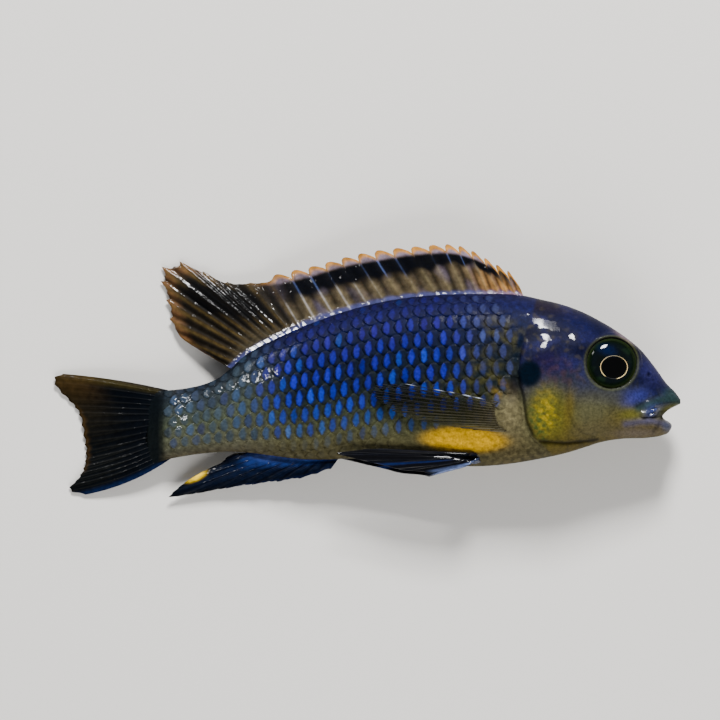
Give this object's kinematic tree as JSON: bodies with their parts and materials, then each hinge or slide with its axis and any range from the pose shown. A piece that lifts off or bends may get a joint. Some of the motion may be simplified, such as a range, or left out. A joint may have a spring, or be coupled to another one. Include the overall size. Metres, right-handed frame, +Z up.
{
  "type": "cichlid fish",
  "caption": "Small rock cichlid lying on its left side, long spiny back fin half raised, mouth slightly open, belly fins folded back.",
  "frame": {"origin": "on the floor, under the middle of the model's length and of its height from belly to back", "axes": "+X from tail to snout, +Y from belly to back, +Z up, out of the right flank"},
  "size_m": [0.0696, 0.0282, 0.0105],
  "materials": {
    "skin": "wet scaled skin, dark blue over olive",
    "eye": "dark gloss with a thin gold ring",
    "ochre_fin": "wet membrane, orange edge over a black band",
    "dark_fin": "wet membrane, blue-black",
    "clear_fin": "thin clear membrane with dark rays"
  },
  "bodies": {
    "root": {"head": "skin", "lower_jaw": "skin", "gill_cover_right": "skin", "gill_cover_left": "skin", "trunk": "skin", "tail_stalk": "skin", "eye_right": "eye", "eye_left": "eye", "dorsal_fin": "ochre_fin", "caudal_fin": "dark_fin", "anal_fin": "dark_fin", "pectoral_fin_right": "clear_fin", "pectoral_fin_left": "clear_fin", "pelvic_fin_right": "dark_fin", "pelvic_fin_left": "dark_fin"}
  },
  "joints": []
}
